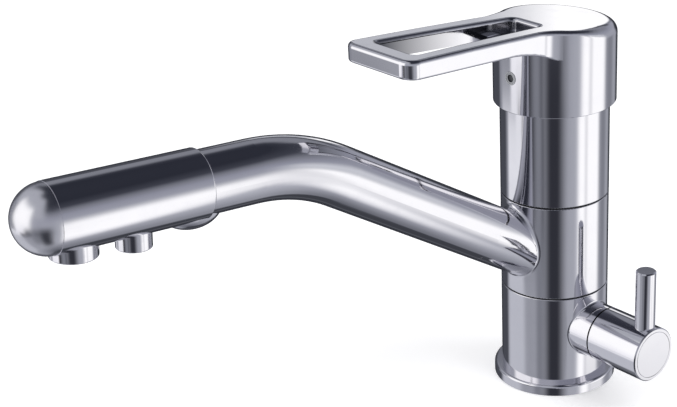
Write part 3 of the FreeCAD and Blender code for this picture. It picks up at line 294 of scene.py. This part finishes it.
# %% [markdown]
# Sealing rubber is black and moulded, with a slightly dusty look, so it is rough and never quite black.
# Slide rings, the cartridge, the outlet inserts and the index plug are injection moulded, usually from
# acetal or ABS, in moulds with a fine spark texture, which gives a soft, broad shine. The inner pipe is
# extruded, so it is smoother and shines more. The ceramic discs are lapped dead flat and shine most.
# All of them are one idea: a slow cloud between two near colours, and a grain. A spark grain is about
# 0.1 mm wide, too fine to show, so the grains are drawn two to five times as coarse. The photograph
# hides most of these pieces, so each has the material that such a piece usually has.

# %% Rubber, plastics and ceramic
CLOUD = 7 * MM


def moulded(name, light, dark, roughness, grain_mm, grain_depth_mm):
    """A moulded or lapped piece that isn't metal, with a fine grain."""
    material, tree, output = new_material(name)
    place = add(tree, "ShaderNodeTexCoord").outputs["Object"]
    grain = add(tree, "ShaderNodeTexNoise", Vector=place, Scale=1 / (grain_mm * MM), Detail=3.0)
    cloud = add(tree, "ShaderNodeTexNoise", Vector=place, Scale=1 / CLOUD, Detail=2.0)
    colour = add(tree, "ShaderNodeMix", {"data_type": "RGBA"}, Factor=cloud.outputs["Fac"],
                 A=linear(light), B=linear(dark))
    rough = add(tree, "ShaderNodeMapRange", Value=cloud.outputs["Fac"], From_Min=NOISE_LOW,
                From_Max=NOISE_HIGH, To_Min=roughness - 0.05, To_Max=roughness + 0.05)
    bump = add(tree, "ShaderNodeBump", Height=grain.outputs["Fac"], Strength=0.5,
               Distance=grain_depth_mm * MM)
    shader = add(tree, "ShaderNodeBsdfPrincipled", Base_Color=colour.outputs["Result"],
                 Roughness=rough.outputs[0], Normal=bump.outputs[0])
    finish_material(tree, output, shader)
    return material


# Vulcanised rubber: matt, with only a dull sheen.
RUBBER = moulded("black_sealing_rubber", "#1b1b1c", "#111112", 0.62, 0.25, 0.02)
# Black moulded acetal: a low, waxy shine.
SLIDE_PLASTIC = moulded("dark_slide_ring_plastic", "#1f2024", "#17181b", 0.45, 0.3, 0.01)
# Pale grey moulded acetal: an even satin.
CARTRIDGE_PLASTIC = moulded("grey_cartridge_plastic", "#cfcfca", "#c2c2bd", 0.48, 0.3, 0.015)
# Grey moulded acetal in the outlets: smoother, with a soft highlight.
OUTLET_PLASTIC = moulded("grey_outlet_plastic", "#b4b8bf", "#a3a8b0", 0.38, 0.3, 0.01)
# Extruded polyethylene: milky white and smooth.
PIPE_PLASTIC = moulded("white_pipe_plastic", "#eceded", "#e0e1e2", 0.35, 0.5, 0.01)
# Pale grey moulded ABS: a small highlight, a little softened by the mould's texture.
PLUG_PLASTIC = moulded("pale_plug_plastic", "#b9bbbf", "#abadb2", 0.32, 0.2, 0.008)
# The plug's ABS, coloured dark grey on its dimple: the same, a little rougher.
DIMPLE_PLASTIC = moulded("dark_plug_plastic", "#4a4c51", "#3e4045", 0.40, 0.2, 0.008)
# Alumina, lapped flat with fine grit: hard, white and glossy.
CERAMIC = moulded("lapped_white_ceramic", "#f0eee8", "#e7e5de", 0.18, 0.15, 0.002)

FINISHES = {
    "chrome_plate": CHROME, "bare_brass": BRASS, "stainless_steel": STEEL, "ceramic": CERAMIC,
    "seal_rubber": RUBBER, "slide_ring_plastic": SLIDE_PLASTIC, "cartridge_plastic": CARTRIDGE_PLASTIC,
    "outlet_plastic": OUTLET_PLASTIC, "pipe_plastic": PIPE_PLASTIC, "index_plastic": PLUG_PLASTIC,
}
print("finishes ready:", len(FINISHES))

# %% [markdown]
# The rigid model already says which finish each sub-part has, so the materials are handed out by that
# list. The lever then gets chrome with painted shade in its finger window, and the spout's end cap a
# satin chrome.

# %% Hand out the finishes
for entry in frame["record"]["subparts"]:
    for place in nodes[entry["node"]].material_slots:
        place.material = FINISHES[entry["material_slot"]]
for name, finish in (("lever_handle", LEVER_CHROME_WITH_PAINTED_SHADE), ("head_end_cap", SATIN_CHROME)):
    for place in nodes[name].material_slots:
        place.material = finish

# %% [markdown]
# The front of the handle's skirt has a small round plug over the grub screw. It is moulded plastic with
# a raised rim and a dark dimple, which the photograph shows as a pale ring round a spot. A rim that
# small could be a picture on a disc, but a real step catches the light from every side, so it is shaped
# here from a cylinder: its front is inset for the rim and pushed in for the dimple, and the rim is
# bevelled.

# %% Shape the index plug
def pick_faces(test):
    """In edit mode, select only the faces whose centre and normal pass the test."""
    bpy.ops.mesh.select_mode(type="FACE")
    bpy.ops.mesh.select_all(action="DESELECT")
    mesh = bmesh.from_edit_mesh(bpy.context.edit_object.data)
    for face in mesh.faces:
        face.select_set(test(face.calc_center_median(), face.normal))
    bmesh.update_edit_mesh(bpy.context.edit_object.data)


RIM = 0.75 * MM
RIM_HEIGHT = 0.35 * MM
DIMPLE_EDGE = 0.55 * MM
DIMPLE_DEPTH = 0.7 * MM
RIM_ROUNDING = 0.16 * MM
NEAR = 0.1 * MM
TOUCHING = 0.01 * MM
TO_THE_FRONT = -0.9
SMOOTH_UNDER = math.radians(35)
low, high = (Vector(corner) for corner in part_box("index_plug"))
middle = (low + high) / 2
plug_radius = (high.x - low.x) / 2
plug_front = low.y


def off_axis(point):
    """How far a point is from the plug's axis, which runs along Y."""
    return (point - middle).xz.length


bpy.ops.object.select_all(action="DESELECT")
bpy.ops.mesh.primitive_cylinder_add(vertices=64, radius=plug_radius, depth=high.y - low.y,
                                    location=middle, rotation=(math.pi / 2, 0, 0))
plug = bpy.context.active_object
plug.name = "index_plug_face"
bpy.ops.object.transform_apply(location=True, rotation=True, scale=True)
bpy.ops.object.mode_set(mode="EDIT")
for inset, push in ((RIM, RIM_HEIGHT), (DIMPLE_EDGE, DIMPLE_DEPTH)):
    pick_faces(lambda centre, normal: normal.y < TO_THE_FRONT and off_axis(centre) < NEAR)
    bpy.ops.mesh.inset(thickness=inset)
    bpy.ops.mesh.extrude_region_move(TRANSFORM_OT_translate={"value": (0, push, 0)})

bpy.ops.mesh.select_mode(type="EDGE")
bpy.ops.mesh.select_all(action="DESELECT")
mesh = bmesh.from_edit_mesh(plug.data)
for edge in mesh.edges:
    first, second = (v.co for v in edge.verts)
    at_front = max(first.y, second.y) < plug_front + TOUCHING
    on_rim = min(off_axis(first), off_axis(second)) > plug_radius - 1.2 * RIM
    edge.select_set(at_front and on_rim and abs(off_axis(first) - off_axis(second)) < NEAR)
bmesh.update_edit_mesh(plug.data)
bpy.ops.mesh.bevel(offset=RIM_ROUNDING, segments=3)
bpy.ops.mesh.select_all(action="SELECT")
bpy.ops.mesh.normals_make_consistent(inside=False)
bpy.ops.object.mode_set(mode="OBJECT")
bpy.ops.object.shade_smooth_by_angle(angle=SMOOTH_UNDER)
print("plug shaped from a cylinder:", len(plug.data.vertices), "corner points")

# %% [markdown]
# The dimple's walls and floor are coloured a darker grey, so the pale ring stands out as in the
# photograph.
# Two separate pieces would show the same, but one mesh with two materials is simpler. The shaped plug
# takes the place of the rigid model's plain one, and turns and lifts with the handle.

# %% Paint the dimple and seat the plug
plug.data.materials.append(PLUG_PLASTIC)
plug.data.materials.append(DIMPLE_PLASTIC)
for face in plug.data.polygons:
    inside_rim = off_axis(face.center) < plug_radius - RIM - 0.4 * MM
    face.material_index = int(inside_rim and plug_front + NEAR < face.center.y < middle.y)
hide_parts("index_plug")
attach(plug, "handle")
print("index plug:", len(plug.data.polygons), "faces, radius", round(plug_radius / MM, 2), "mm")

# %% [markdown]
# A plain pale floor carries the tap's shadow. It is matt, and a little light of its own, which only the
# camera sees, brings it up to the white of the background without lighting the tap. Reflections don't
# show the floor at all, because the tent below is all that they show.

# %% Floor
FLOOR_SIZE = 6.0
BELOW_THE_GASKET = -0.2 * MM
FLOOR_GLOW = 0.30

floor_material, tree, output = new_material("pale_floor")
ray = add(tree, "ShaderNodeLightPath")
glow = add(tree, "ShaderNodeMath", {"operation": "MULTIPLY"}, in0=ray.outputs["Is Camera Ray"],
           in1=FLOOR_GLOW)
matte = add(tree, "ShaderNodeBsdfDiffuse", Color=linear("#f2f2f4"))
lift = add(tree, "ShaderNodeEmission", Color=linear("#ffffff"), Strength=glow.outputs[0])
both = add(tree, "ShaderNodeAddShader", in0=matte.outputs[0], in1=lift.outputs[0])
finish_material(tree, output, both)

bpy.ops.object.select_all(action="DESELECT")
bpy.ops.mesh.primitive_plane_add(size=FLOOR_SIZE, location=(0, 0, BELOW_THE_GASKET))
floor = bpy.context.active_object
floor.name = "studio_floor"
floor.data.materials.append(floor_material)
floor.visible_glossy = False
print("floor size:", tuple(round(v, 2) for v in floor.dimensions))

# %% [markdown]
# Chrome shows what stands round it, so the studio is built for its reflections.
# Round the tap stands a tent that only reflections show. Its cloth is grey, darker overhead, and soft
# cards are hung on it, one over another: a broad white box to the right, a narrower one to the left, and
# black flags between them. That is how a photographer gets bright bands with dark edges on chrome. A
# card's place is its bearing from the camera, positive to the camera's right, and its height above the
# level, both in degrees. Area lamps could be the boxes, but their edges are hard, and a black flag can't
# be a lamp. A picture wrapped round the world could be the whole studio, but cards can be moved one by
# one. To find where a card has to hang, it was worked out which way each piece mirrors. The cards were
# then placed, and their greys chosen, until the bands on the tap fell as in the photograph.

# %% Tent of cards
TENT_CLOTH = [(-90, "#5c5e66"), (-78, "#787a82"), (-64, "#989aa2"), (-48, "#aeb0b8"), (-20, "#9698a0"),
              (8, "#9a9ca6"), (22, "#8c8e9a"), (33, "#74767f"), (43, "#3e4049"), (58, "#2a2c35"),
              (90, "#2e3039")]
CARDS = [
    # what it is, then from, to and soft edge of its bearing and of its height, then its colour
    ("grey flag to the left", -200, -127, 14, -60, 25, 14, "#45474e"),
    ("grey card to the left", -127, -97, 8, -19, 25, 6, "#84868e"),
    ("grey card over the camera", -140, -6, 28, 18, 76, 16, "#a4a6ae"),
    ("black flag below the camera", -80, -30, 8, -25.5, -10, 5, "#2c2d34"),
    ("grey gap in that flag", -50, -31, 16, -50, -8, 16, "#787a82"),
    ("low grey card on the left", -72, -48, 18, -60, -25.5, 3, "#94969e"),
    ("soft end of that flag", -27, 10, 26, -60, -8, 20, "#2f3037"),
    ("grey card right of the camera", 24, 40, 18, -60, 10, 18, "#a2a4ac"),
    ("pale card beside it", 40, 58, 16, -60, -8, 18, "#cfd0d6"),
    ("low box on the left", -122, -76, 14, -60, -25, 3, "#b6b8c0"),
    ("middle of the left box", -120, -79, 8, -25, -19, 4, "#e0e1e6"),
    ("upper middle of that box", -95, -62, 8, -19, -2, 5, "#f0f0f4"),
    ("top of the left box", -104, -45, 14, -8, 40, 18, "#ffffff"),
    ("front of the right box", 44, 60, 12, -54, -2, 26, "#ffffff"),
    ("right box", 62, 97, 14, -33, 3, 16, "#ffffff"),
    ("pale top of the right box", 64, 98, 14, 3, 15, 12, "#c6c8ce"),
    ("grey card behind the right box", 104, 124, 16, -34, -10, 12, "#7c7e86"),
    ("low black flag at the back", 142, 200, 14, -60, 4, 8, "#34363c"),
    ("dark floor at the back", 135, 215, 24, -86, -60, 12, "#3c3e44"),
    ("black flag at the back", 140, 200, 14, -10, 6, 8, "#34363c"),
    ("grey card high at the back", 145, 205, 14, 24, 46, 12, "#7c7e86"),
    ("grey gap at the back", 150, 200, 8, 18.5, 25, 3, "#4c4e55"),
    ("pale card at the back", 162, 188, 6, 8, 18, 3, "#b4b6bc"),
    ("white strip at the back", 164, 172, 4, 8, 17, 4, "#ffffff"),
]
TENT_RADIUS = 1.6
TENT_HEIGHT = 0.1
TENT_STRENGTH = 1.2
CAMERA_BEARING = AZIMUTH - math.pi / 2


def smooth(share):
    """A straight ramp from 0 to 1 with its two corners rounded off."""
    share = min(1, max(0, share))
    return share * share * (3 - 2 * share)


def cover(value, low, high, edge):
    """How much of a card with soft edges is at a place: 1 on the card, 0 off it."""
    return smooth((value - low) / edge + 0.5) * smooth((high - value) / edge + 0.5)


def blend(first, second, share):
    """The colour a share of the way from the first to the second."""
    return [a + (b - a) * share for a, b in zip(first, second)]


def tent_colour(bearing, height):
    """The light that comes from one direction of the tent."""
    colour = linear(TENT_CLOTH[0][1])
    for (low, first), (high, second) in zip(TENT_CLOTH, TENT_CLOTH[1:]):
        if low <= height <= high:
            colour = blend(linear(first), linear(second), (height - low) / (high - low))
    for _, left, right, side_edge, low, high, edge, paint in CARDS:
        across = max(cover(bearing + turn, left, right, side_edge) for turn in (-360, 0, 360))
        share = across * cover(height, low, high, edge)
        if share > 0:
            colour = blend(colour, linear(paint), share)
    return colour


print("tent's light at the camera's bearing, at its middle height:",
      [round(v, 2) for v in tent_colour(0, 0)[:3]])

# %% [markdown]
# The tent is a ball that glows, and each of its corner points takes the colour of the cloth or card that
# hangs there, as a colour attribute. The ball only shows in reflections, so it neither lights the floor
# nor hides the tap from the camera.

# %% Raise the tent
bpy.ops.object.select_all(action="DESELECT")
bpy.ops.mesh.primitive_uv_sphere_add(segments=180, ring_count=90, radius=TENT_RADIUS)
tent = bpy.context.active_object
tent.name = "studio_tent"
painted = tent.data.color_attributes.new("card", "FLOAT_COLOR", "POINT")
for vertex in tent.data.vertices:
    bearing = math.degrees(math.atan2(vertex.co.y, vertex.co.x) - CAMERA_BEARING)
    height = math.degrees(math.asin(max(-1, min(1, vertex.co.z / TENT_RADIUS))))
    painted.data[vertex.index].color = tent_colour((bearing + 180) % 360 - 180, height)
tent.location.z = TENT_HEIGHT
bpy.ops.object.transform_apply(location=True, rotation=True, scale=True)

tent_material, tree, output = new_material("studio_tent")
colour = add(tree, "ShaderNodeAttribute", {"attribute_name": "card"})
finish_material(tree, output, add(tree, "ShaderNodeEmission", Color=colour.outputs["Color"],
                                  Strength=TENT_STRENGTH))
tent.data.materials.append(tent_material)
tent.visible_camera = False
tent.visible_diffuse = False
tent.visible_shadow = False
tent.visible_transmission = False
print("tent with", len(CARDS), "cards at", TENT_RADIUS, "m")

# %% [markdown]
# Two large, soft lamps light the floor and the plastic pieces, and give the tap its faint shadow. The
# chrome doesn't show them, because a lamp's hard square would break up the soft cards.

# %% Lamps
LAMP_DISTANCE = 1.6
LAMP_SIZE = 1.2
LAMP_AIM = Vector((0, 0, 80 * MM))


def soft_lamp(name, bearing, elevation, power):
    """A square area lamp that faces the tap from a bearing to the camera's right, both in degrees."""
    angle = CAMERA_BEARING + math.radians(bearing)
    rise = math.radians(elevation)
    direction = Vector((math.cos(angle) * math.cos(rise), math.sin(angle) * math.cos(rise),
                        math.sin(rise)))
    lamp_data = bpy.data.lights.new(name, "AREA")
    lamp_data.energy = power
    lamp_data.size = LAMP_SIZE
    lamp = bpy.data.objects.new(name, lamp_data)
    scene.collection.objects.link(lamp)
    lamp.location = direction * LAMP_DISTANCE + LAMP_AIM
    lamp.rotation_euler = direction.to_track_quat("Z", "Y").to_euler()
    lamp.visible_glossy = False
    print(name, "at", [round(v, 2) for v in lamp.location], "with", power, "W")


soft_lamp("key_lamp", 60, 50, 14)
soft_lamp("fill_lamp", -80, 45, 9)

# %% [markdown]
# The world is white to the camera, which makes the plain white background. To the rays that light the
# pieces it is only about half as bright, so that, with the lamps, a colour renders about as it is
# written. The Standard view keeps those colours, where a filmic one would grey the white.

# %% World
WORLD_LIGHT = 0.55
world = bpy.data.worlds.new("white_studio")
scene.world = world
world.use_nodes = True
tree = world.node_tree
tree.nodes.clear()
ray = add(tree, "ShaderNodeLightPath")
seen = ray.outputs["Is Camera Ray"]
for kind in ("Is Glossy Ray", "Is Transmission Ray"):
    larger = add(tree, "ShaderNodeMath", {"operation": "MAXIMUM"}, in0=seen, in1=ray.outputs[kind])
    seen = larger.outputs[0]
level = add(tree, "ShaderNodeMapRange", Value=seen, To_Min=WORLD_LIGHT, To_Max=1.0)
sky = add(tree, "ShaderNodeBackground", Color=linear("#ffffff"), Strength=level.outputs[0])
finish_material(tree, tree.nodes.new("ShaderNodeOutputWorld"), sky)
scene.view_settings.view_transform = "Standard"
print("world light", WORLD_LIGHT, "with the", scene.view_settings.view_transform, "view")
